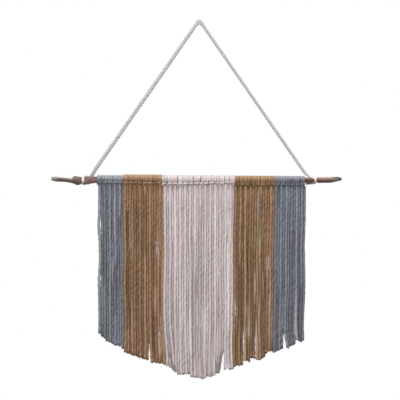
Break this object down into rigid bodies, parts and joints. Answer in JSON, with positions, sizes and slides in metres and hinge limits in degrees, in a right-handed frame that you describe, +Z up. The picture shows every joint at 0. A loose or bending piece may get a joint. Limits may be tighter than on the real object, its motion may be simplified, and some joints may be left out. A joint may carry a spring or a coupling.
{
  "type": "macrame wall hanging on a wooden stick",
  "caption": "Macrame wall hanging: folded cotton cords knotted side by side on a natural stick, trimmed to a shallow point, hung by a twisted rope.",
  "frame": {"origin": "where the hanging rope bears on its hook, the underside of the rope at the top of its triangle", "axes": "+X to the viewer's right along the stick, +Y from the front towards the wall, +Z up; the front faces -Y"},
  "size_m": [0.5816, 0.0364, 0.7193],
  "materials": {
    "blue_grey": "matt cotton cord",
    "ochre": "matt cotton cord",
    "cream": "matt cotton cord",
    "bark": "matt natural bark",
    "rope": "matt twisted cotton rope"
  },
  "bodies": {
    "root": {"cord_blue_left_01": "blue_grey", "cord_blue_left_02": "blue_grey", "cord_blue_left_03": "blue_grey", "cord_blue_left_04": "blue_grey", "cord_blue_left_05": "blue_grey", "cord_ochre_left_01": "ochre", "cord_ochre_left_02": "ochre", "cord_ochre_left_03": "ochre", "cord_ochre_left_04": "ochre", "cord_ochre_left_05": "ochre", "cord_ochre_left_06": "ochre", "cord_ochre_left_07": "ochre", "cord_ochre_left_08": "ochre", "cord_cream_01": "cream", "cord_cream_02": "cream", "cord_cream_03": "cream", "cord_cream_04": "cream", "cord_cream_05": "cream", "cord_cream_06": "cream", "cord_cream_07": "cream", "cord_cream_08": "cream", "cord_cream_09": "cream", "cord_cream_10": "cream", "cord_cream_11": "cream", "cord_cream_12": "cream", "cord_cream_13": "cream", "cord_cream_14": "cream", "cord_ochre_right_01": "ochre", "cord_ochre_right_02": "ochre", "cord_ochre_right_03": "ochre", "cord_ochre_right_04": "ochre", "cord_ochre_right_05": "ochre", "cord_ochre_right_06": "ochre", "cord_ochre_right_07": "ochre", "cord_ochre_right_08": "ochre", "cord_blue_right_01": "blue_grey", "cord_blue_right_02": "blue_grey", "cord_blue_right_03": "blue_grey", "cord_blue_right_04": "blue_grey", "cord_blue_right_05": "blue_grey", "cord_blue_right_06": "blue_grey", "stick": "bark", "hanging_rope": "rope"}
  },
  "joints": []
}
